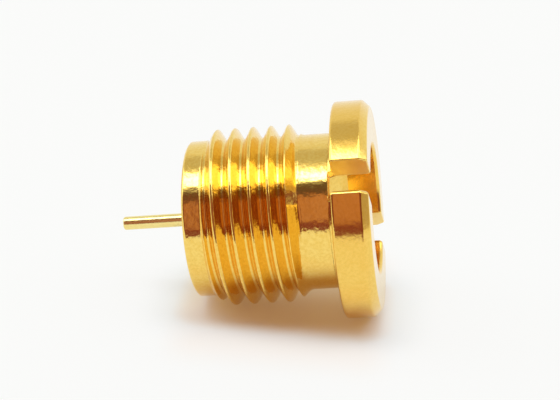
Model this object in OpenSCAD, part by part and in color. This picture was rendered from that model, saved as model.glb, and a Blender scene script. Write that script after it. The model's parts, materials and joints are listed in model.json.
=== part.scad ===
// Hermetic push-on coaxial connector with a thread-in shell, all lengths in millimetres.
// +X runs along the connector's axis, out of the mating face, and +Z is up.
// The origin lies on the axis, in the flat ring that seats against the housing.

/* [Flange] */
// Outside diameter of the flange
flange_d = 5.94; // [5.5:0.02:8]
// Thickness of the flange, from its seat to the mating face
flange_t = 0.99; // [0.97:0.01:1.6]
// Chamfer round the mating face, at 45 degrees
flange_chamfer = 0.2; // [0.05:0.01:0.3]
// Broken edge round the seat, at 45 degrees
flange_break = 0.05; // [0.01:0.01:0.1]

/* [Driver slot] */
// Width of the slot that is cut right across the flange
slot_w = 0.8; // [0.5:0.01:1.2]
// Depth of the slot from the mating face, right through the flange and a little into the neck
slot_depth = 1.11; // [0.4:0.01:1.3]
// Turn of the slot about the axis, with its -Y end going up
slot_angle = 40; // [0:1:180]

/* [Thread] */
// Major diameter of the thread
thread_d = 4.88; // [4.7:0.02:5.2]
// Pitch of the thread
thread_pitch = 0.5; // [0.35:0.05:0.6]
// Length of the threaded stretch, with the chamfer at each of its ends
thread_len = 2.6; // [1.5:0.05:6]
// Diameter of the plain neck between the thread and the flange
neck_d = 4.26; // [4:0.02:4.6]
// Length of the plain neck
neck_len = 0.94; // [0.5:0.02:3]
// Bevel in the corner between the neck and the seat
neck_fillet = 0.07; // [0.02:0.01:0.15]

/* [Pilot] */
// Diameter of the smooth pilot behind the thread
pilot_d = 4.3; // [4:0.02:4.5]
// Length of the pilot
pilot_len = 0.5; // [0.3:0.05:2]
// Broken edge round the rear face
pilot_break = 0.06; // [0.02:0.01:0.15]

/* [Mating socket] */
// Diameter of the mouth in the flange
mouth_d = 3.54; // [3.3:0.02:3.9]
// Depth of the mouth, from the mating face to its lead-in cone
mouth_depth = 0.89; // [0.5:0.01:1.2]
// Broken edge round the mouth
mouth_break = 0.05; // [0.02:0.01:0.1]
// Length of the lead-in cone between the mouth and the detent land
lead_in_len = 0.55; // [0.3:0.01:0.7]
// Diameter of the detent land that the mating fingers snap past
land_d = 2.9; // [2.7:0.02:3]
// Length of the detent land
land_len = 0.25; // [0.1:0.01:0.4]
// Diameter of the groove behind the land
groove_d = 3.14; // [3.06:0.02:3.28]
// Depth of the socket, from the mating face to the seal's front face
socket_depth = 2.75; // [2.4:0.05:3]

/* [Glass seal] */
// Diameter of the glass and of the bore that it is fused into
seal_d = 2.06; // [1.6:0.02:2.4]
// Dip of each end of the glass, halfway between the pin and the shell
meniscus = 0.07; // [0.02:0.01:0.15]

/* [Centre pin] */
// Diameter of the centre pin
pin_d = 0.37; // [0.3:0.01:0.5]
// Length of the pin in the socket, from the seal's front face to its tip
pin_front = 1.15; // [0.6:0.05:1.4]
// Length of the pin behind the rear face
pin_rear = 2.05; // [0.8:0.05:4]
// Bevel round each tip of the pin
pin_bevel = 0.05; // [0.02:0.01:0.1]

/* [Hidden] */
$fn = 96;

gold = [0.86, 0.66, 0.32];
sealing_glass = [0.24, 0.34, 0.36];
past = 1;

// Stations along the axis, from the rear face to the mating face
seat_x = 0;
face_x = flange_t;
thread_front_x = seat_x - neck_len;
thread_rear_x = thread_front_x - thread_len;
rear_x = thread_rear_x - pilot_len;
cone_x = face_x - mouth_depth;
land_x = cone_x - lead_in_len;
groove_x = land_x - land_len - (groove_d - land_d) / 2;
seal_x = face_x - socket_depth;

// Section of a 60 degree thread, with a flat crest and a flat root
half_angle = 30;
crest_w = thread_pitch / 8;
root_w = thread_pitch / 6;
flank_w = (thread_pitch - crest_w - root_w) / 2;
thread_depth = flank_w / tan(half_angle);
root_d = thread_d - 2 * thread_depth;

// The ridges of the thread stand as rings, centred on the threaded stretch
ridge_w = crest_w + 2 * flank_w;
ridge_count = floor((thread_len - ridge_w) / thread_pitch) + 1;
thread_mid_x = (thread_front_x + thread_rear_x) / 2;
function ridge_x(i) = thread_mid_x + (i - (ridge_count - 1) / 2) * thread_pitch;

// Outline of one ridge as [radius, station] points, from its rear foot to its front foot
function ridge_outline(x) = [
    [root_d / 2, x - ridge_w / 2],
    [thread_d / 2, x - crest_w / 2],
    [thread_d / 2, x + crest_w / 2],
    [root_d / 2, x + ridge_w / 2]
];

// Outside of the shell, from its rear face to its mating face
function shell_outside() = concat(
    [
        [pilot_d / 2 - pilot_break, rear_x],
        [pilot_d / 2, rear_x + pilot_break],
        [pilot_d / 2, thread_rear_x],
        [root_d / 2, thread_rear_x]
    ],
    [for (i = [0 : ridge_count - 1]) each ridge_outline(ridge_x(i))],
    [
        [root_d / 2, thread_front_x],
        [neck_d / 2, thread_front_x],
        [neck_d / 2, seat_x - neck_fillet],
        [neck_d / 2 + neck_fillet, seat_x],
        [flange_d / 2 - flange_break, seat_x],
        [flange_d / 2, seat_x + flange_break],
        [flange_d / 2, face_x - flange_chamfer],
        [flange_d / 2 - flange_chamfer, face_x]
    ]
);

// Inside of the shell, from its mating face to its rear face
function shell_inside() = [
    [mouth_d / 2 + mouth_break, face_x],
    [mouth_d / 2, face_x - mouth_break],
    [mouth_d / 2, cone_x],
    [land_d / 2, land_x],
    [land_d / 2, land_x - land_len],
    [groove_d / 2, groove_x],
    [groove_d / 2, seal_x],
    [seal_d / 2, seal_x],
    [seal_d / 2, rear_x]
];

// Turns a [radius, station] outline about the connector's axis
module turned(outline) {
    rotate([0, 90, 0])
        rotate_extrude()
            polygon(outline);
}

// Straight cut across the flange for a screwdriver
module driver_slot() {
    slot_l = flange_d + 2 * past;
    rotate([-slot_angle, 0, 0])
        translate([face_x - slot_depth, -slot_l / 2, -slot_w / 2])
            cube([slot_depth + past, slot_l, slot_w]);
}

// Gold-plated shell, turned in one piece from the rear face to the flange
module shell() {
    color(gold)
        difference() {
            turned(concat(shell_outside(), shell_inside()));
            driver_slot();
        }
}

// Glass bead, fused to the shell and to the pin, with a dip in each end
module glass_seal() {
    dip_r = (seal_d + pin_d) / 4;
    color(sealing_glass)
        turned([
            [pin_d / 2, rear_x],
            [dip_r, rear_x + meniscus],
            [seal_d / 2, rear_x],
            [seal_d / 2, seal_x],
            [dip_r, seal_x - meniscus],
            [pin_d / 2, seal_x]
        ]);
}

// Gold-plated contact pin that runs right through the glass
module centre_pin() {
    tip_x = seal_x + pin_front;
    tail_x = rear_x - pin_rear;
    color(gold)
        turned([
            [0, tail_x],
            [pin_d / 2 - pin_bevel, tail_x],
            [pin_d / 2, tail_x + pin_bevel],
            [pin_d / 2, tip_x - pin_bevel],
            [pin_d / 2 - pin_bevel, tip_x],
            [0, tip_x]
        ]);
}

shell();
glass_seal();
centre_pin();
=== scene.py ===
# %% [markdown]
# # A hermetic push-on coaxial connector
# The object is a gold-plated connector, 7 mm long, that screws into the wall of a metal housing.
# It has three pieces: a turned shell with a thread and a slotted flange, a bead of glass that is
# fused into the shell's rear bore, and a contact pin that runs right through the glass.
# This lesson loads the solid model, draws a finer surface for each of the three pieces, gives them
# their finishes, and lays them on a pale table in soft light.

import json

import bpy
import numpy as np
from mathutils import Matrix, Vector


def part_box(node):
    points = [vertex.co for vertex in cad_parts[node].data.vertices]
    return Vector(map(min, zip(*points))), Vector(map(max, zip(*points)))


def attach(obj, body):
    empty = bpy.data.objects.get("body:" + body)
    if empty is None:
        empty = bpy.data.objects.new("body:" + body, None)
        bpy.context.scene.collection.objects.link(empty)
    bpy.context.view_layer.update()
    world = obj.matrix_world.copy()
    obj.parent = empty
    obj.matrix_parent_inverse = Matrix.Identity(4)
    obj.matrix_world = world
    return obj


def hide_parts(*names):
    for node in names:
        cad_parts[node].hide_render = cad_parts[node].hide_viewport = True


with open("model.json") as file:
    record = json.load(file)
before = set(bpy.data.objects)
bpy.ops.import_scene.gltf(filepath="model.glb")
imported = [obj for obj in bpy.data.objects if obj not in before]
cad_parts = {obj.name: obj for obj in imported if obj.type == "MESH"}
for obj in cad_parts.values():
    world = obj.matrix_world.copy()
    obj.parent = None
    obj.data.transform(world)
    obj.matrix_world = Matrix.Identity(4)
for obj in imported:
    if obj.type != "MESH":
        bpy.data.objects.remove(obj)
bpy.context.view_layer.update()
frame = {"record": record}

# %% [markdown]
# ## Where the eye stands
# The connector lies on its side, and the camera looks at it from a little in front of the flange and
# from above. A camera can be turned by eye until the outline fits. Here the place and the three turns
# are written as numbers instead: the eye starts level with the axis, is carried up round the axis by
# its height angle, and is then turned a little sideways, downwards and round its own line of sight.
# Lengths are in millimetres, and MM makes them metres, which is what the model uses.

# %% Eye
MM = 0.001
EYE_STATION, EYE_DISTANCE = 3.817, 41.24
EYE_HEIGHT = np.radians(22.4)
EYE_YAW = np.radians(-7.57)
EYE_PITCH = np.radians(-0.52)
EYE_ROLL = np.radians(-3.57)
Y_AXIS, Z_AXIS = 1, 2
RIGHT, DOWN, AHEAD = 0, 1, 2


def turn(angle, first, second):
    """Rotation by the angle in the plane of two of the three axes, first towards second."""
    matrix = np.eye(3)
    matrix[first, first] = matrix[second, second] = np.cos(angle)
    matrix[second, first] = np.sin(angle)
    matrix[first, second] = -np.sin(angle)
    return matrix


level_axes = np.array([[1, 0, 0], [0, 0, -1], [0, 1, 0]], float)
eye_axes = turn(EYE_ROLL, RIGHT, DOWN) @ turn(EYE_PITCH, DOWN, AHEAD) @ turn(EYE_YAW, RIGHT, AHEAD)
eye_axes = eye_axes @ level_axes @ turn(EYE_HEIGHT, Y_AXIS, Z_AXIS)
eye_place = np.array([
    EYE_STATION,
    -EYE_DISTANCE * np.cos(EYE_HEIGHT),
    EYE_DISTANCE * np.sin(EYE_HEIGHT),
]) * MM
print("eye at", eye_place, "m")

# %% [markdown]
# ## The camera
# A lens can be given as an angle or as a focal length. The fit gives it in pixels of a picture 560 wide,
# and Blender wants millimetres over the width of its sensor, so it is scaled by the sensor's width.
# Blender's camera looks along its own -Z with +Y up, so the downward and forward axes change sign.

# %% Camera
PICTURE_WIDTH = 560
FOCAL_PIXELS = 1507.5
SENSOR_WIDTH = 36.0
NEAREST, FARTHEST = 1.0, 10000.0
camera_data = bpy.data.cameras.new("camera")
camera_data.sensor_width = SENSOR_WIDTH
camera_data.lens = SENSOR_WIDTH * FOCAL_PIXELS / PICTURE_WIDTH
camera_data.clip_start = NEAREST * MM
camera_data.clip_end = FARTHEST * MM
camera = bpy.data.objects.new("camera", camera_data)
bpy.context.scene.collection.objects.link(camera)
camera_place = np.eye(4)
camera_place[:3] = np.stack([eye_axes[RIGHT], -eye_axes[DOWN], -eye_axes[AHEAD], eye_place], axis=1)
camera.matrix_world = Matrix(camera_place)
bpy.context.scene.camera = camera
print("camera lens", round(camera_data.lens, 1), "mm")

# %% [markdown]
# ## A grid of points
# Each piece here is turned on a lathe, so its surface is a grid: one parameter runs along the outline
# and the other runs round the axis. Blender could spin a profile with a modifier, but the thread winds
# and the slot cuts through, so the points are worked out with numpy and handed over as one array.
# A grid that closes both ways is a torus, which has no open edge and no pole.

# %% Grid helpers
def on_axis(station, radius, angle):
    """Points at a station along X, at a radius, and at an angle from -Y up towards +Z."""
    return np.stack([station, -radius * np.cos(angle), radius * np.sin(angle)], axis=-1)


def plain_rows(outline, angles):
    """Rows that are the same all round: each point of the outline gives one radius and one station."""
    return on_axis(*np.broadcast_arrays(outline[:, 1:], outline[:, :1], angles))


def grid_faces(rows, columns):
    """Four-sided faces of a grid that closes round its columns and round its rows: each point with its
    neighbour along the row, the one diagonally on, and the one in the next row."""
    index = np.arange(rows * columns).reshape(rows, columns)
    right = np.roll(index, -1, axis=1)
    faces = np.stack([index, right, np.roll(right, -1, axis=0), np.roll(index, -1, axis=0)], axis=-1)
    return faces.reshape(-1, faces.shape[-1])


print("faces of a grid, 3 by 4 points:", len(grid_faces(3, 4)))

# %% [markdown]
# ## From a grid to a mesh
# Smooth shading averages the normals of the faces round a point. Blender can weight them by a modifier.
# Here they are worked out along with the points: the cross product of a face's diagonals is as long as
# the face is large, so a plain sum weights the faces by area. A wide face then keeps its own normal
# right up to the narrow rounding beside it, and the gloss breaks crisply at the edge.

# %% Mesh helper
def area_normals(points, faces):
    """Unit normal at each point: the sum of its faces' normals, each as long as its face is large."""
    across = points[faces[:, 2]] - points[faces[:, 0]]
    along = points[faces[:, 3]] - points[faces[:, 1]]
    face_normals = np.cross(across, along)
    total = np.zeros_like(points)
    for corner in faces.T:
        np.add.at(total, corner, face_normals)
    return total / np.linalg.norm(total, axis=1, keepdims=True)


def mesh_piece(name, grid):
    """A smooth mesh object that rides on the connector's body, from a grid of points in millimetres."""
    points, faces = grid.reshape(-1, 3), grid_faces(*grid.shape[:2])
    mesh = bpy.data.meshes.new(name)
    mesh.vertices.add(len(points))
    mesh.vertices.foreach_set("co", (points * MM).ravel())
    mesh.loops.add(faces.size)
    mesh.loops.foreach_set("vertex_index", faces.ravel().astype(np.int32))
    mesh.polygons.add(len(faces))
    mesh.polygons.foreach_set("loop_start", np.arange(0, faces.size, faces.shape[1], dtype=np.int32))
    mesh.polygons.foreach_set("use_smooth", np.ones(len(faces), bool))
    mesh.update(calc_edges=True)
    mesh.validate()
    mesh.normals_split_custom_set_from_vertices(area_normals(points, faces))
    piece = bpy.data.objects.new(name, mesh)
    bpy.context.scene.collection.objects.link(piece)
    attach(piece, "root")
    print(name, "has", len(points), "points and", len(faces), "faces")
    return piece


# %% [markdown]
# ## Outlines with rounded corners
# No machined edge is perfectly sharp, and the thin bright lines along the edges of this connector are
# the light caught by their small roundings. A Bevel modifier could make them. An outline is simpler to
# round before it is turned: each corner is replaced by an arc that touches both of its sides.

# %% Outline helper
ARC_STEPS = 4


def rounded(corners, radii):
    """Outline with an arc at each corner. The arc starts radius * tan(turn / 2) before the corner, its
    centre lies square to the incoming side, and its points swing round that centre by the turn."""
    corners, radii = np.array(corners, float), np.array(radii, float)
    sides = np.diff(corners, axis=0)
    sides /= np.linalg.norm(sides, axis=1, keepdims=True)
    before, after = sides[:-1], sides[1:]
    cross = before[:, 0] * after[:, 1] - before[:, 1] * after[:, 0]
    swing = np.arctan2(cross, (before * after).sum(1))
    reach = radii * np.tan(np.abs(swing) / 2)
    start = corners[1:-1] - before * reach[:, None]
    square = np.stack([-before[:, 1], before[:, 0]], axis=1) * np.sign(swing)[:, None]
    centre = start + square * radii[:, None]
    part = swing[:, None] * np.linspace(0, 1, ARC_STEPS + 1)
    spoke = -square * radii[:, None]
    arc_x = spoke[:, :1] * np.cos(part) - spoke[:, 1:] * np.sin(part)
    arc_y = spoke[:, :1] * np.sin(part) + spoke[:, 1:] * np.cos(part)
    arcs = centre[:, None] + np.stack([arc_x, arc_y], axis=-1)
    return np.concatenate([corners[:1], arcs.reshape(-1, 2), corners[-1:]])


print("each corner becomes", ARC_STEPS + 1, "points")

# %% [markdown]
# ## The shell's sizes
# The overall sizes are read from the solid model: the boxes of its nodes give the stations and radii of
# the turned pieces, and the mounts in its record give the thread and the mouth. The solid is a mesh of
# flat faces, so its box can lie a hair inside the true circle, and the sizes are rounded to a thousandth.
# The rest are the sizes that the solid was made from. All are in millimetres: radii from the axis, and
# stations along it from the plane where the flange seats against the housing.

# %% Shell sizes
DECIMALS = 3


def turned_size(node):
    """Rear station, front station and radius of a turned node, from the two corners of its box."""
    low, high = np.array(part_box(node)) / MM
    return [round(float(size), DECIMALS) for size in (low[0], high[0], high[1:].max())]


mounts = {mount["name"]: mount for mount in frame["record"]["mounts"]}
thread_mount = mounts["panel_thread"]
thread_mid_x, thread_length = thread_mount["pos_m"][0] / MM, thread_mount["dims"]["length_mm"]
THREAD_R, MOUTH_R = thread_mount["dims"]["r_mm"], mounts["mating_mouth"]["dims"]["r_mm"]
THREAD_FRONT_X = thread_mid_x + thread_length / 2
THREAD_REAR_X = thread_mid_x - thread_length / 2
REAR_X, FACE_X, FLANGE_R = turned_size("shell")
SEAL_X, SEAL_R = turned_size("glass_seal")[1:]
CHAMFER, PILOT_BREAK = 0.2, 0.06
NECK_R, PILOT_R, LAND_R, GROOVE_R = 2.13, 2.15, 1.45, 1.57
SLOT_W, SLOT_DEPTH, SLOT_TURN = 0.8, 1.11, np.radians(40)
MOUTH_DEPTH, LAND_LENGTH = 0.89, 0.25
CONE_SLOPE = np.tan(np.radians(30))
SLOT_FLOOR_X = FACE_X - SLOT_DEPTH
CONE_X = FACE_X - MOUTH_DEPTH
LAND_X = round(CONE_X - (MOUTH_R - LAND_R) / CONE_SLOPE, DECIMALS)
LAND_REAR_X = LAND_X - LAND_LENGTH
GROOVE_X = LAND_REAR_X - (GROOVE_R - LAND_R)
print("shell", FACE_X - REAR_X, "mm long,", 2 * FLANGE_R, "mm across the flange")

# %% [markdown]
# ## The thread
# A thread could be a ridge swept along a helix, joined to a plain core. The joins at its two ends are
# hard to make clean that way. Here the threaded stretch is one field of radii instead: how far a point
# lies from the nearest crest, measured along the axis, gives its place on the 60 degree section, and a
# cone at each end cuts the thread down, as the chamfers of the real one do. The front cone runs out
# into the neck in a small fillet. One station, where a crest passes the top of the barrel as the camera
# sees it, fixes the whole helix.

# %% Thread
PITCH = 0.5
CREST_W = PITCH / 8
FLANK_SLOPE = 1 / np.tan(np.radians(30))
ROOT_RISE = 0.003
ROOT_R = NECK_R + ROOT_RISE
CREST_TOP_X = -3.27
TOP_ANGLE = EYE_HEIGHT + np.pi / 2
THREAD_ROUNDING, CONE_ROUNDING = 0.05, 0.02
FRONT_FILLET = 0.1


def soft_lower(first, second, width):
    """The lower of two fields. Where they come closer than the width, the square of what is missing from
    the width, over four widths, is taken off, which rounds the crease between them."""
    near = np.maximum(width - np.abs(first - second), 0)
    return np.minimum(first, second) - near ** 2 / (4 * width)


def thread_radius(station, angle):
    """Radius of the threaded stretch. A crest winds right-handed, one pitch for each turn. Off its flat
    the radius falls along the flank, down to the root, and never stands above the two end cones, which
    rise by as much as they go along the axis."""
    crest = CREST_TOP_X + PITCH * (TOP_ANGLE - angle) / (2 * np.pi)
    off = np.abs((station - crest + PITCH / 2) % PITCH - PITCH / 2)
    flank = THREAD_R - FLANK_SLOPE * (off - CREST_W / 2)
    section = soft_lower(THREAD_R, flank, THREAD_ROUNDING)
    section = -soft_lower(-section, -ROOT_R, THREAD_ROUNDING)
    rear_cone = PILOT_R + (station - THREAD_REAR_X)
    front_cone = -soft_lower(station - THREAD_FRONT_X - NECK_R, -NECK_R, FRONT_FILLET)
    return soft_lower(section, np.minimum(rear_cone, front_cone), CONE_ROUNDING)


print("thread depth", round(THREAD_R - ROOT_R, 3), "mm")

# %% [markdown]
# ## Across one end of the slot
# The driver slot is milled right across the flange. A Boolean cut would leave long thin faces and no
# roundings. Here the grid itself goes down into the slot: a few of its columns run over the lower edge,
# down the lower wall, across the floor, up the upper wall and over the upper edge. Each column has its
# distance from the slot's middle plane, and shares that say where its points lie: on the flange's
# outline, on a core line inside the wall, or on the floor. The inset says how far the outline shrinks
# beside a wall, which rounds the edges all round it. The upper edge is sharper than the lower one.

# %% Slot columns
GAP_COLUMNS = 7
FLOOR_MARGIN = 0.01
UPPER_EDGE, LOWER_EDGE = 0.035, 0.1
WALL_CORE = np.array([1, 0.1, 0])
half_gap = SLOT_W / 2
edge_swing = np.linspace(0, np.pi / 2, ARC_STEPS + 1)
edge_out, edge_in = 1 - np.cos(edge_swing), 1 - np.sin(edge_swing)
upper_off, lower_off = half_gap + UPPER_EDGE * edge_out, half_gap + LOWER_EDGE * edge_out
gap_off = np.linspace(-half_gap + FLOOR_MARGIN, half_gap - FLOOR_MARGIN, GAP_COLUMNS)
on_edge, on_wall, in_gap = np.ones_like(edge_out), np.ones_like(WALL_CORE), np.zeros_like(gap_off)
slot_off = np.concatenate(
    [-lower_off[::-1], -half_gap * on_wall, gap_off, half_gap * on_wall, upper_off])
slot_outline = np.concatenate([on_edge, 0 * on_wall, in_gap, 0 * on_wall, on_edge])
slot_core = np.concatenate([0 * on_edge, WALL_CORE, in_gap, WALL_CORE[::-1], 0 * on_edge])
slot_inset = np.concatenate(
    [LOWER_EDGE * edge_in[::-1], 0 * on_wall, in_gap, 0 * on_wall, UPPER_EDGE * edge_in])
print("columns across one end of the slot:", len(slot_off))

# %% [markdown]
# ## Round the shell
# Round the axis, the columns go through the near end of the slot, the upper half of the flange, the far
# end of the slot and the lower half. Evenly spread columns would miss the slot's edges. A column near
# the slot keeps a fixed distance from its middle plane instead, so its angle is the arcsine of that
# distance over the radius. The columns of the two halves share out the angles between, closer together
# towards the slot, so that the spacing never jumps.

# %% Columns
SECTOR_COLUMNS = 120
SPACING_SWAY = 0.9
even = np.linspace(0, 1, SECTOR_COLUMNS + 2)[1:-1]
sector_share = even - SPACING_SWAY * np.sin(2 * np.pi * even) / (2 * np.pi)
sector_ones = np.ones(SECTOR_COLUMNS)


def round_the_shell(slot_end, upper, lower):
    """Joins the columns of the near slot end, the upper half, the far slot end and the lower half. The
    far end is the near one in reverse order."""
    return np.concatenate([slot_end, upper, slot_end[::-1], lower])


column_off = round_the_shell(slot_off, upper_off[-1] * sector_ones, lower_off[-1] * sector_ones)
column_outline = round_the_shell(slot_outline, sector_ones, sector_ones)
column_core = round_the_shell(slot_core, 0 * sector_ones, 0 * sector_ones)
column_floor = 1 - column_outline - column_core
column_inset = round_the_shell(slot_inset, 0 * sector_ones, 0 * sector_ones)
column_share = round_the_shell(0 * slot_off, sector_share, sector_share)
column_base = np.pi * np.repeat([0, 0, 1, 1], [len(slot_off), SECTOR_COLUMNS] * 2)
column_sign = np.repeat([1, 1, -1, 1], [len(slot_off), SECTOR_COLUMNS] * 2)


def column_angles(radius):
    """Angle of every column at the given radii: the slot's own turn, plus half a turn for the far end,
    plus the arcsine of the column's distance over the radius, plus its share of the open sector."""
    lean = np.arcsin(column_off / radius)
    open_sector = np.pi - 2 * lean
    return SLOT_TURN + column_base + column_sign * lean + column_share * open_sector


COLUMNS = len(column_off)
even_angles = column_angles(NECK_R)[0] + np.arange(COLUMNS) * 2 * np.pi / COLUMNS
print("columns round the shell:", COLUMNS)

# %% [markdown]
# ## The shell's outline
# Along the outline the rows run once round the whole section: rear face, pilot, thread, neck, seat,
# flange, mouth, lead-in cone, detent land, groove and the bore that the glass fills, and so back to the
# rear face. Each stretch could be a mesh of its own. One closed outline leaves no seam that could show.
# It is written in stretches here, because the thread winds and the slot cuts only the front one.

# %% Shell outline
THREAD_ROWS = 200
ROW_GAP = 0.02
PILOT_ROUND, CHAMFER_ROUND, CONE_ROUND = 0.05, 0.09, 0.02
NECK_FILLET, SEAT_BREAK, MOUTH_BREAK = 0.115, 0.09, 0.09
SOCKET_ROUND, SOCKET_CORNER = 0.03, 0.04
rear_rows = rounded(
    [(SEAL_R, REAR_X), (PILOT_R - PILOT_BREAK, REAR_X), (PILOT_R, REAR_X + PILOT_BREAK),
     (PILOT_R, THREAD_REAR_X - ROW_GAP)],
    [PILOT_ROUND, PILOT_ROUND])
neck_start_x = THREAD_FRONT_X + FRONT_FILLET
thread_x = np.linspace(THREAD_REAR_X, neck_start_x, THREAD_ROWS)
neck_rows = np.array([(NECK_R, neck_start_x + ROW_GAP), (NECK_R, SLOT_FLOOR_X - ROW_GAP)])
cone_end_r = MOUTH_R - (CONE_X - SLOT_FLOOR_X) * CONE_SLOPE
front_rows = rounded(
    [(NECK_R, SLOT_FLOOR_X), (NECK_R, 0), (FLANGE_R, 0), (FLANGE_R, FACE_X - CHAMFER),
     (FLANGE_R - CHAMFER, FACE_X), (MOUTH_R, FACE_X), (MOUTH_R, CONE_X), (cone_end_r, SLOT_FLOOR_X)],
    [NECK_FILLET, SEAT_BREAK, CHAMFER_ROUND, CHAMFER_ROUND, MOUTH_BREAK, CONE_ROUND])
inner_rows = rounded(
    [(cone_end_r, SLOT_FLOOR_X), (LAND_R, LAND_X), (LAND_R, LAND_REAR_X), (GROOVE_R, GROOVE_X),
     (GROOVE_R, SEAL_X), (SEAL_R, SEAL_X), (SEAL_R, REAR_X + ROW_GAP / 2)],
    [SOCKET_ROUND, SOCKET_ROUND, SOCKET_ROUND, SOCKET_CORNER, SOCKET_ROUND])[1:]
print("rows that the slot cuts:", len(front_rows))

# %% [markdown]
# ## The rows that the slot cuts
# The slot cuts only the flange and the very end of the neck. There each point is a blend of the outline,
# the core line and the floor by its column's shares. The outline shrinks by the column's inset, and the
# core line rises from the floor at both ends of the stretch, so that the wall's columns never fold.

# %% Slotted rows
CORE_X = 0.03
SOFT_RUN, CORE_RUN = 0.5, 0.2
LEAST_INSET = 0.1
NECK_CORE, CONE_CORE = 0.08, 0.2


def inset_directions(outline):
    """Which way each point of an outline moves when it shrinks: along the mean of the two sides' inward
    normals, lengthened so that both sides move by the same amount. The ends move along the radius."""
    sides = np.diff(outline, axis=0)
    sides /= np.linalg.norm(sides, axis=1, keepdims=True)
    inward = np.stack([-sides[:, 1], sides[:, 0]], axis=1)
    before, after = inward[:-1], inward[1:]
    middle = (before + after) / (1 + (before * after).sum(1))[:, None]
    return np.concatenate([[[-1, 0]], middle, [[1, 0]]])


def slotted_rows():
    """Rows that the slot cuts: each column's blend of shrunk outline, core line and floor."""
    steps = np.linalg.norm(np.diff(front_rows, axis=0), axis=1)
    run = np.concatenate([[0], np.cumsum(steps)])
    from_end = np.minimum(run, run[-1] - run)[:, None]
    inset = np.clip(from_end / SOFT_RUN, LEAST_INSET, 1) * column_inset
    shrunk = front_rows[:, None] + inset[..., None] * inset_directions(front_rows)[:, None]
    floor_r = np.linspace(front_rows[0, 0], front_rows[-1, 0], len(front_rows))[:, None]
    core_r = np.linspace(NECK_R - NECK_CORE, cone_end_r + CONE_CORE, len(front_rows))[:, None]
    core_rise = np.clip(from_end / CORE_RUN, 0, 1)
    core_r = floor_r + core_rise * (core_r - floor_r)
    core_x = SLOT_FLOOR_X + core_rise * (CORE_X - SLOT_FLOOR_X)
    radius = column_outline * shrunk[..., 0] + column_core * core_r + column_floor * floor_r
    station = column_outline * shrunk[..., 1] + column_core * core_x + column_floor * SLOT_FLOOR_X
    return on_axis(station, radius, column_angles(radius))


print("slot floor from", round(cone_end_r, 3), "to", NECK_R, "mm off the axis")

# %% [markdown]
# ## The shell's surface
# The shell is one piece of metal, so all the stretches become one mesh. The thread's rows take their
# radius from the field above. The columns are spread evenly from the rear face to the neck, bunched at
# the slot in the flange, and kept so in the socket behind it.

# %% Shell surface
thread_station, thread_angle = np.broadcast_arrays(thread_x[:, None], even_angles)
shell_grid = np.concatenate([
    plain_rows(rear_rows, even_angles),
    on_axis(thread_station, thread_radius(thread_station, thread_angle), thread_angle),
    plain_rows(neck_rows, even_angles),
    slotted_rows(),
    plain_rows(inner_rows, column_angles(cone_end_r)),
])
shell = mesh_piece("shell_surface", shell_grid)
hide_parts("shell")

# %% [markdown]
# ## The contact pin
# The pin is drawn wire, cut to length, with its ends tumbled round. A cylinder with a bevel would do
# from afar. As a turned outline it gets true round edges. The outline stops a hair's breadth off the
# axis at both ends, and because the grid also closes round its rows, a tube far too thin to see joins
# the two ends inside, so there is no pole and no open hole.

# %% Pin
PIN_TAIL_X, PIN_TIP_X, PIN_R = turned_size("centre_pin")
PIN_ROUND = 0.05
PIN_COLUMNS = 64
POLE_R = 0.00002


def even_turn(columns):
    """Angles of a number of columns, spread evenly over one turn."""
    return np.linspace(0, 2 * np.pi, columns, endpoint=False)


pin_outline = rounded(
    [(POLE_R, PIN_TAIL_X), (PIN_R, PIN_TAIL_X), (PIN_R, PIN_TIP_X), (POLE_R, PIN_TIP_X)],
    [PIN_ROUND, PIN_ROUND])
pin = mesh_piece("contact_pin", plain_rows(pin_outline, even_turn(PIN_COLUMNS)))
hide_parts("centre_pin")

# %% [markdown]
# ## The glass bead
# The bead is melted in place, so both of its ends are drawn up where the glass wets the metal and dip in
# between. It could be a cylinder with sculpted ends. A parabola between the pin and the bore is close to
# the true shape and takes one line.

# %% Glass
MENISCUS = 0.07
GLASS_ROWS, GLASS_COLUMNS = 24, 96
across = np.linspace(-1, 1, GLASS_ROWS)
glass_radius = (SEAL_R + PIN_R) / 2 + across * (SEAL_R - PIN_R) / 2
dip = MENISCUS * (1 - across ** 2)
glass_outline = np.concatenate([
    np.stack([glass_radius, REAR_X + dip], axis=1),
    np.stack([glass_radius, SEAL_X - dip], axis=1)[::-1],
])
glass = mesh_piece("glass_bead", plain_rows(glass_outline, even_turn(GLASS_COLUMNS)))
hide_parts("glass_seal")

# %% [markdown]
# ## Shader maths as Python
# A finish is a small net of nodes. Drawn by hand it is a tangle, so a Wire stands for one output socket,
# and Python's own operators on it add the Math nodes. The reflected forms, such as __rsub__, are what
# make 1 - mask work, where the number stands on the left.

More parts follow.
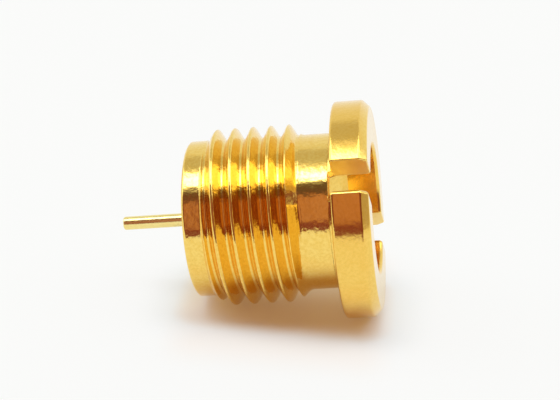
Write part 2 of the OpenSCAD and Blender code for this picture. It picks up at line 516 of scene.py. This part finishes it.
# %% Wires
class Wire:
    """One output socket of a node net, which can be used in arithmetic."""

    def __init__(self, net, socket):
        self.net = net
        self.socket = socket

    def maths(self, operation, first, second=0.0):
        """A Math node on two values or wires."""
        return self.net.add("ShaderNodeMath", {"operation": operation}, {0: first, 1: second})

    def __add__(self, other):
        return self.maths("ADD", self, other)

    def __radd__(self, other):
        return self.maths("ADD", other, self)

    def __sub__(self, other):
        return self.maths("SUBTRACT", self, other)

    def __rsub__(self, other):
        return self.maths("SUBTRACT", other, self)

    def __mul__(self, other):
        return self.maths("MULTIPLY", self, other)

    def __rmul__(self, other):
        return self.maths("MULTIPLY", other, self)

    def __truediv__(self, other):
        return self.maths("DIVIDE", self, other)

    def __rtruediv__(self, other):
        return self.maths("DIVIDE", other, self)

    def root(self):
        """Square root."""
        return self.maths("SQRT", self)

    def size(self):
        """The value without its sign."""
        return self.maths("ABSOLUTE", self)

    def floor_at(self, least):
        """The value, or the least one where it would be lower."""
        return self.maths("MAXIMUM", self, least)

    def angle_over(self, run):
        """Angle of a slope that rises by this value over the given run."""
        return self.maths("ARCTAN2", self, run)

    def step(self, low, high):
        """Smooth step: 0 below low, 1 above high."""
        choices = {"interpolation_type": "SMOOTHSTEP"}
        sockets = {"Value": self, "From Min": low, "From Max": high}
        return self.net.add("ShaderNodeMapRange", choices, sockets)

    def band(self, rise, full, hold, end):
        """Smooth band: 0 before rise, 1 from full to hold, 0 after end."""
        return self.step(rise, full) * (1 - self.step(hold, end))


print("reflected operators:", [name for name in vars(Wire) if name.startswith("__r")])

# %% [markdown]
# ## Nets of nodes
# Every other node is added by one method, which sets the node's choices first, because they can change
# which sockets it has, and then the values or links of its sockets. A few short methods on top of it
# name what comes back most: the parts of a vector, noise, and the mix of two colours or two shaders.

# %% Nets
MIX_SHARE, MIX_FIRST, MIX_SECOND, MIX_COLOUR = 0, 6, 7, 2


class Net:
    """The node net of a material or of the world."""

    def __init__(self, owner):
        owner.use_nodes = True
        self.tree = owner.node_tree
        self.tree.nodes.clear()

    def add(self, kind, choices=None, sockets=None, out=0):
        """Adds a node: its choices first, such as a ramp's stops, then its sockets by name or place."""
        node = self.tree.nodes.new(kind)
        for name, value in (choices or {}).items():
            if name == "stops":
                self.set_stops(node.color_ramp, value)
            else:
                setattr(node, name, value)
        for name, value in (sockets or {}).items():
            if isinstance(value, Wire):
                self.tree.links.new(value.socket, node.inputs[name])
            else:
                node.inputs[name].default_value = value
        return Wire(self, node.outputs[out])

    def set_stops(self, ramp, stops):
        """Gives a ramp its stops, each a place and a colour."""
        while len(ramp.elements) > 1:
            ramp.elements.remove(ramp.elements[-1])
        for place, colour in stops[1:]:
            ramp.elements.new(place).color = colour
        ramp.elements[0].position, ramp.elements[0].color = stops[0]

    def split(self, vector):
        """The three parts of a vector."""
        first = self.add("ShaderNodeSeparateXYZ", None, {"Vector": vector})
        return [Wire(self, socket) for socket in first.socket.node.outputs]

    def noise(self, place, size, detail):
        """Soft noise from 0 to 1, with swells of about the given size in millimetres."""
        sockets = {"Vector": place, "Scale": 1 / (size * MM), "Detail": detail}
        return self.add("ShaderNodeTexNoise", None, sockets)

    def mix(self, share, first, second):
        """Colour between two others by a share from 0 to 1. The node has sockets for every kind of data,
        with the same names, so those for colour go by place."""
        sockets = {MIX_SHARE: share, MIX_FIRST: first, MIX_SECOND: second}
        return self.add("ShaderNodeMix", {"data_type": "RGBA"}, sockets, MIX_COLOUR)

    def mix_shaders(self, share, first, second):
        """Shader between two others by a share from 0 to 1."""
        return self.add("ShaderNodeMixShader", None, {0: share, 1: first, 2: second})

    def close(self, kind, surface):
        """Adds the output node and links the surface to it."""
        node = self.tree.nodes.new(kind)
        self.tree.links.new(surface.socket, node.inputs["Surface"])


print("methods of a net:", [name for name in vars(Net) if not name.startswith("__")])

# %% [markdown]
# ## Where the plating differs
# One plating covers the whole shell, but what lies under it was cut in different ways: the barrel, the
# face and the rim are turned, the mouth is bored, and the slot's walls are milled. Painted weights could
# mark these areas. Each is a simple shape about the axis, so a smooth step finds it: on the station for
# the flange, on the radius for the rim and the mouth, and on the distance from the slot's middle plane
# for its walls, which are a skin only hundredths of a millimetre deep.

# %% Shell areas
FLANGE_FADE = np.array([-0.1, 0]) * MM
RIM_FADE = np.array([FLANGE_R - CHAMFER, FLANGE_R]) * MM
MOUTH_FADE = np.array([MOUTH_R, MOUTH_R + MOUTH_BREAK]) * MM
WALL_FADE = np.array([0.004, 0.02]) * MM
WALL_FOOT_FADE = np.array([SLOT_FLOOR_X, 0.1]) * MM


def shell_areas(x, y, z, radius):
    """Shares from 0 to 1 of the flange, its rim, the bore and the milled walls, each a smooth step. The
    bore is all that lies within the mouth's radius. The walls lie half a slot's width from the middle
    plane, which is turned with the slot."""
    flange = x.step(*FLANGE_FADE)
    rim = radius.step(*RIM_FADE)
    bored = 1 - radius.step(*MOUTH_FADE)
    plane = z * np.cos(SLOT_TURN) + y * np.sin(SLOT_TURN)
    off_wall = (plane.size() - SLOT_W / 2 * MM).size()
    milled = (1 - off_wall.step(*WALL_FADE)) * x.step(*WALL_FOOT_FADE)
    return flange, rim, bored, milled


print("rim from", round(RIM_FADE[0] / MM, 2), "to", round(RIM_FADE[1] / MM, 2), "mm off the axis")

# %% [markdown]
# ## Gold plating
# The shell is bright gold over the cut metal. Up close it has rings left by the lathe tool, a faint
# waviness from the plating, a slow drift of tone and a fine grain of deeper gold. On the rim and in the
# mouth a warmer gold is painted on, a painted reflection of the warm light that the table and the gold
# itself throw onto them. The waves are strongest on the barrel, weaker on the rim and faint on the mating
# face, the bore has deeper rings, and the milled walls are paler and duller. The pin is paler, and its
# waves are fainter. Image textures could show all this, but would need a layout for each piece. Noise on
# the piece's own place needs none. One number that is constant along every turned ring, the station plus
# a multiple of the radius, drives the rings on barrel, face and cone alike.

# %% Gold
GOLD, GOLD_WARM = (0.97, 0.69, 0.185, 1), (0.95, 0.60, 0.13, 1)
GOLD_DEEP, GOLD_PALE = (0.88, 0.53, 0.075, 1), (0.98, 0.82, 0.33, 1)
RING_SIZE, WAVE_SIZE, TONE_SIZE, GRAIN_SIZE = 0.03, 0.16, 1.3, 0.08
RING_DETAIL, WAVE_DETAIL, TONE_DETAIL, GRAIN_DETAIL = 3.0, 4.0, 3.0, 2.0
RING_MIX = 1.37
TONE_FADE, GRAIN_FADE = (0.35, 0.7), (0.25, 0.75)
TONE_WARMTH, PAINTED_REFLECTION_WARMTH, GRAIN_SHARE = 0.4, 0.6, 0.55
RING_DULL, TONE_DULL, BORE_DULL, RIM_DULL = 0.06, 0.05, 0.09, 0.04
MILLED_DULL, MILLED_GRAIN = 0.1, 0.3
RING_DEPTH, BORE_RING_DEPTH = 0.0001, 0.0005
BARREL_WAVES, FACE_WAVES, RIM_WAVES = 3.5, 0.5, 2.5


def gold_finish(name, gold, warmth, wave_depth, gloss):
    """Gold plating. The colour goes from the gold to a warmer one with the tone, and on the rim and in
    the mouth by a painted reflection of warm light, then to a deeper one in the grain, each times the
    warmth and off the milled walls. The roughness is the gloss plus a little of each detail. The bump is
    the rings plus the waves."""
    material = bpy.data.materials.new(name)
    net = Net(material)
    place = net.add("ShaderNodeTexCoord", out="Object")
    x, y, z = net.split(place)
    radius = (y * y + z * z).root()
    flange, rim, bored, milled = shell_areas(x, y, z, radius)
    ring_place = (x + RING_MIX * radius) / (RING_SIZE * MM)
    rings = net.add("ShaderNodeTexNoise", {"noise_dimensions": "1D"},
                    {"W": ring_place, "Scale": 1.0, "Detail": RING_DETAIL})
    waves = net.noise(place, WAVE_SIZE, WAVE_DETAIL)
    tone = net.noise(place, TONE_SIZE, TONE_DETAIL)
    grain = net.noise(place, GRAIN_SIZE, GRAIN_DETAIL)
    plain = warmth * (1 - milled)
    # Random tone, plus painted reflection: the rim and the mouth are tinted warmer for the warm light
    # they reflect.
    tone_and_painted_warmth = TONE_WARMTH * tone.step(*TONE_FADE) + PAINTED_REFLECTION_WARMTH * (rim + bored * flange)
    colour = net.mix(tone_and_painted_warmth * plain, gold, GOLD_WARM)
    colour = net.mix(GRAIN_SHARE * grain.step(*GRAIN_FADE) * plain, colour, GOLD_DEEP)
    roughness = gloss + RING_DULL * rings + TONE_DULL * tone
    roughness = roughness + (MILLED_DULL + MILLED_GRAIN * grain) * milled
    roughness = roughness + BORE_DULL * bored + RIM_DULL * tone * rim
    wave_share = BARREL_WAVES - (BARREL_WAVES - FACE_WAVES) * flange + (RIM_WAVES - FACE_WAVES) * rim
    height = rings * (RING_DEPTH + BORE_RING_DEPTH * bored) + waves * wave_share * wave_depth
    normal = net.add("ShaderNodeBump", None, {"Strength": 1.0, "Distance": 1 * MM, "Height": height})
    surface = net.add("ShaderNodeBsdfPrincipled", None, {
        "Base Color": colour, "Metallic": 1.0, "Roughness": roughness, "Normal": normal})
    net.close("ShaderNodeOutputMaterial", surface)
    return material


gold_shell = gold_finish("gold_plated_shell", GOLD, warmth=1.0, wave_depth=0.002, gloss=0.07)
gold_pin = gold_finish("gold_plated_pin", GOLD_PALE, warmth=0.3, wave_depth=0.0006, gloss=0.1)
shell.data.materials.append(gold_shell)
pin.data.materials.append(gold_pin)
print("gold finishes:", gold_shell.name, gold_pin.name)

# %% [markdown]
# ## Sealing glass
# The bead is a dark grey-green sealing glass, shiny from the melt, with a faint cloud and a few fine
# bubbles. A see-through glass would be truer for a thin pane. This bead is so dark and thick that an
# opaque body under a clear coat looks the same.

# %% Sealing glass
GLASS_DARK, GLASS_LIGHT = (0.05, 0.085, 0.085, 1), (0.085, 0.13, 0.125, 1)
BUBBLE_TINT, BUBBLE_SHARE = (0.3, 0.36, 0.35, 1), 0.35
CLOUD_SIZE, CLOUD_DETAIL, CLOUD_FADE = 0.4, 4.0, (0.3, 0.7)
BUBBLE_GAP, BUBBLE_FADE = 0.12, (0.08, 0.2)
GLASS_GLOSS, BUBBLE_DULL = 0.08, 0.1
glass_finish = bpy.data.materials.new("sealing_glass")
net = Net(glass_finish)
place = net.add("ShaderNodeTexCoord", out="Object")
cloud = net.noise(place, CLOUD_SIZE, CLOUD_DETAIL)
bubbles = net.add("ShaderNodeTexVoronoi", None, {"Vector": place, "Scale": 1 / (BUBBLE_GAP * MM)})
bubble = 1 - bubbles.step(*BUBBLE_FADE)
tint = net.mix(cloud.step(*CLOUD_FADE), GLASS_DARK, GLASS_LIGHT)
tint = net.mix(bubble * BUBBLE_SHARE, tint, BUBBLE_TINT)
surface = net.add("ShaderNodeBsdfPrincipled", None, {
    "Base Color": tint, "Roughness": GLASS_GLOSS + BUBBLE_DULL * bubble, "IOR": 1.5, "Coat Weight": 0.3})
net.close("ShaderNodeOutputMaterial", surface)
glass.data.materials.append(glass_finish)
print("glass finish:", glass_finish.name)

# %% [markdown]
# ## The table
# The connector lies on a white table and touches it with the flange's rear edge and with the rearmost
# full turn of the thread. The connector could be tilted to lie on a level floor. The solid's frame is
# fixed, so the table leans a little instead. It ends a few centimetres in front of the object.

# %% Table
TABLE_SIZE, TABLE_FRONT = 300.0, 34.0
FRONT_TOUCH_X, REAR_TOUCH_X = 0.04, -3.3
table_slope = (THREAD_R - FLANGE_R) / (FRONT_TOUCH_X - REAR_TOUCH_X)
corner_x = np.array([-1, 1, 1, -1]) * TABLE_SIZE
corner_y = np.array([-TABLE_FRONT, -TABLE_FRONT, TABLE_SIZE, TABLE_SIZE])
corner_z = -FLANGE_R + table_slope * (corner_x - FRONT_TOUCH_X)
table_mesh = bpy.data.meshes.new("table")
table_points = np.stack([corner_x, corner_y, corner_z], axis=1) * MM
table_mesh.from_pydata(table_points.tolist(), [], [(0, 1, 2, 3)])
table = bpy.data.objects.new("table", table_mesh)
bpy.context.scene.collection.objects.link(table)
print("table leans", round(float(np.degrees(np.arctan(table_slope))), 1), "degrees")

# %% [markdown]
# ## The table's finish
# The table is dull white paper, which takes the object's shadow. More light would turn it whiter, but
# would bleach the gold too. So what the camera sees of it, and most of what metal and glass show of it,
# is partly a glow that lights nothing else: nearly all glow further out, where it is white, and little
# of it close to the object, where it is painted light in the warm colour that gold throws on paper. A
# faint painted warm cast of that light reaches a little further beside the barrel. Seen from below, the
# table lets the view through, so that the underside can be looked at.

# %% Table finish
PAPER = (0.9, 0.95, 0.94, 1)
NEAR_PAINTED_LIGHT, FAR_GLOW = (0.92, 0.52, 0.22, 1), (0.96, 0.956, 0.935, 1)
NEAR_SHARE, FAR_SHARE, MIRROR_SHARE = 0.22, 0.9, 0.8
SHADOW_X, SHADOW_HALF_X, SHADOW_HALF_Y = -1.8, 2.1, 1.2
SHARE_FADE, COLOUR_FADE = (0.2, 2.2), (0.2, 1.0)
PAINTED_WARM_CAST, CAST_X_FADE, CAST_Y_FADE = 0.2, (0.0, 1.2), (0.8, 3.4)
table_finish = bpy.data.materials.new("white_table")
net = Net(table_finish)
x, y = net.split(net.add("ShaderNodeTexCoord", out="Object"))[:2]
past_x = ((x / MM - SHADOW_X).size() - SHADOW_HALF_X).floor_at(0)
past_y = ((y / MM).size() - SHADOW_HALF_Y).floor_at(0)
away = (past_x * past_x + past_y * past_y).root()
# Painted light: near the object the glow is the warm colour that gold throws on paper, with a painted
# warm cast beside the barrel.
painted_warm_cast = PAINTED_WARM_CAST * (1 - past_y.step(*CAST_Y_FADE)) * (1 - past_x.step(*CAST_X_FADE))
painted_near_light = net.add("ShaderNodeEmission", None, {"Color": NEAR_PAINTED_LIGHT, "Strength": 1.0})
far_glow = net.add("ShaderNodeEmission", None, {"Color": FAR_GLOW, "Strength": 1.0})
glow = net.mix_shaders(away.step(*COLOUR_FADE) * (1 - painted_warm_cast), painted_near_light, far_glow)
glow_share = NEAR_SHARE + (FAR_SHARE - NEAR_SHARE) * away.step(*SHARE_FADE)
seen = net.add("ShaderNodeLightPath", out="Is Camera Ray")
mirrored = net.add("ShaderNodeLightPath", out="Is Glossy Ray")
through = net.add("ShaderNodeLightPath", out="Is Transmission Ray")
viewed = seen + MIRROR_SHARE * (mirrored + through)
paper = net.add("ShaderNodeBsdfDiffuse", None, {"Color": PAPER})
paper = net.mix_shaders(glow_share * viewed, paper, glow)
below = net.add("ShaderNodeNewGeometry", out="Backfacing")
surface = net.mix_shaders(below, paper, net.add("ShaderNodeBsdfTransparent"))
net.close("ShaderNodeOutputMaterial", surface)
table_mesh.materials.append(table_finish)
print("table finish:", table_finish.name)

# %% [markdown]
# ## The room
# Polished metal shows the room more than itself, so the light needs a room to shine in it. Panels and
# lamps could stand round the object. The world shader draws them by direction instead, which casts no
# hard shadows. The half turn goes round the connector's axis, from the horizon on the camera's side,
# over the top, to the horizon behind: a dark skirting, a dim brown wall, a dark gap, a white ceiling, a
# grey cornice and a white wall. Away from the middle the brown wall gets darker, and along the axis, at
# both ends, the room closes with pale walls. The one in front of the flange has a dark strip across it.

# %% Room
SKIRTING = (0.26, 0.07, 0.08, 1)
BROWN_LOW, BROWN_HIGH = (0.58, 0.275, 0.185, 1), (0.61, 0.29, 0.20, 1)
GAP_LOW, GAP_HIGH = (0.14, 0.08, 0.07, 1), (0.14, 0.10, 0.08, 1)
CEILING = (1.25, 1.23, 1.16, 1)
CORNICE_FRONT, CORNICE_BACK = (0.66, 0.64, 0.58, 1), (0.66, 0.64, 0.60, 1)
BACK_HIGH, BACK_LOW = (0.90, 0.92, 0.93, 1), (1.00, 1.06, 1.12, 1)
HALF_TURN_STOPS = [
    (0.000, SKIRTING), (0.035, SKIRTING),
    (0.050, BROWN_LOW), (0.250, BROWN_HIGH),
    (0.272, GAP_LOW), (0.360, GAP_HIGH),
    (0.385, CEILING), (0.505, CEILING),
    (0.555, CORNICE_FRONT), (0.680, CORNICE_BACK),
    (0.730, BACK_HIGH), (1.000, BACK_LOW),
]
DARK_CORNER, WHITE_WALL = (0.24, 0.07, 0.07, 1), (0.8, 0.76, 0.7, 1)
END_WALL_LOW, END_WALL_HIGH = (0.58, 0.49, 0.38, 1), (0.75, 0.74, 0.7, 1)
CORNER_FADE, CORNER_TOP_FADE = (0.09, 0.35), (58, 66)
END_WALL_FADE, DARK_STRIP = (0.3, 0.45), (0.18, 0.23, 0.36, 0.42)
FRONT_FADE, END_FADE = (0.0, 0.5), (0.92, 0.955)
world = bpy.context.scene.world or bpy.data.worlds.new("room")
bpy.context.scene.world = world
net = Net(world)
x, y, z = net.split(net.add("ShaderNodeTexCoord", out="Generated"))
aside = x.size()
half_turn = z.floor_at(0).angle_over(-1 * y) / np.pi
degrees = half_turn * 180
room = net.add("ShaderNodeValToRGB", {"stops": HALF_TURN_STOPS}, {0: half_turn})
room = net.mix(aside.step(*CORNER_FADE) * (1 - degrees.step(*CORNER_TOP_FADE)), room, DARK_CORNER)
end_wall = net.mix(z.step(*END_WALL_FADE), END_WALL_LOW, END_WALL_HIGH)
end_wall = net.mix(z.band(*DARK_STRIP), end_wall, DARK_CORNER)
end_wall = net.mix(x.step(*FRONT_FADE), WHITE_WALL, end_wall)
room = net.mix(aside.step(*END_FADE), room, end_wall)
print("stops over the half turn:", len(HALF_TURN_STOPS))

# %% [markdown]
# ## The lamp
# A long soft lamp hangs along the connector, a little to the camera's side of overhead, and gives the
# bright line along the barrel. An area light would do, but its outline is a plain rectangle. This lamp
# widens like a fan away from the middle, where both of its edges also rise a little, and it is dimmer
# towards its ends. It is laid over the room. What the camera sees directly, or through glass, is a plain
# white backdrop.

# %% Lamp
LAMP, LAMP_END = (5.2, 5.8, 6.6, 1), (2.1, 2.3, 2.6, 1)
NEAR_EDGE_FADE, FAR_EDGE_FADE = (68, 72), (70, 82)
LAMP_FAN, NEAR_RISE, FAR_RISE = 60, 3, 5
RISE_FADE, LAMP_END_FADE, DIM_FADE = (0.1, 0.2), (0.88, 0.93), (0.15, 0.4)
BACKDROP = (1.017, 1.017, 1.0, 1)
ROOM_STRENGTH = 0.94
lamp_rise = aside.step(*RISE_FADE)
far_edge = 1 - (degrees - LAMP_FAN * aside - FAR_RISE * lamp_rise).step(*FAR_EDGE_FADE)
near_edge = (degrees - NEAR_RISE * lamp_rise).step(*NEAR_EDGE_FADE)
lamp = near_edge * far_edge * (1 - aside.step(*LAMP_END_FADE))
lamp_colour = net.mix(aside.step(*DIM_FADE), LAMP, LAMP_END)
light = net.mix(lamp, room, lamp_colour)
seen = net.add("ShaderNodeLightPath", out="Is Camera Ray")
through = net.add("ShaderNodeLightPath", out="Is Transmission Ray")
light = net.mix(seen + through, light, BACKDROP)
surface = net.add("ShaderNodeBackground", None, {"Color": light, "Strength": ROOM_STRENGTH})
net.close("ShaderNodeOutputWorld", surface)
bpy.context.scene.view_settings.view_transform = "Standard"
print("world of", len(net.tree.nodes), "nodes")

# %% [markdown]
# The drawn pieces have to stay in the box of the solid model.
